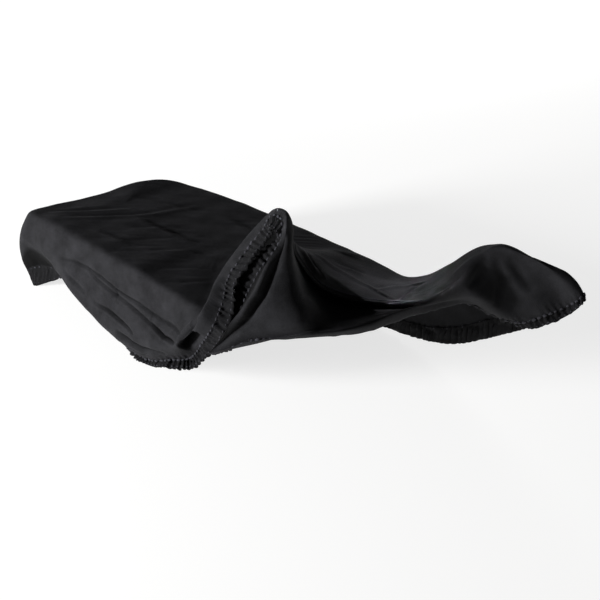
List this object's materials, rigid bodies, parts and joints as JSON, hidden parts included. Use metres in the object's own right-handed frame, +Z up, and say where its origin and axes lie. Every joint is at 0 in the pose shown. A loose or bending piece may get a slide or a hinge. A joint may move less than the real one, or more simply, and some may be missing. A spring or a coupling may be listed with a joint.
{
  "type": "keyboard dust cover",
  "caption": "Black stretch dust cover with a gathered elastic hem, half drawn on: one end fitted, the open end lifted into a tent and a cone.",
  "frame": {"origin": "Just under the cloth's top, near the middle of the fitted part, where the covered thing carries it", "axes": "+X runs the long way to the open end, +Y to the front, +Z up"},
  "size_m": [0.6977, 0.3567, 0.2209],
  "materials": {
    "stretch_cloth": "matte",
    "gathered_elastic": "matte"
  },
  "bodies": {
    "root": {"cover_cloth": "stretch_cloth", "hem_elastic": "gathered_elastic"}
  },
  "joints": []
}
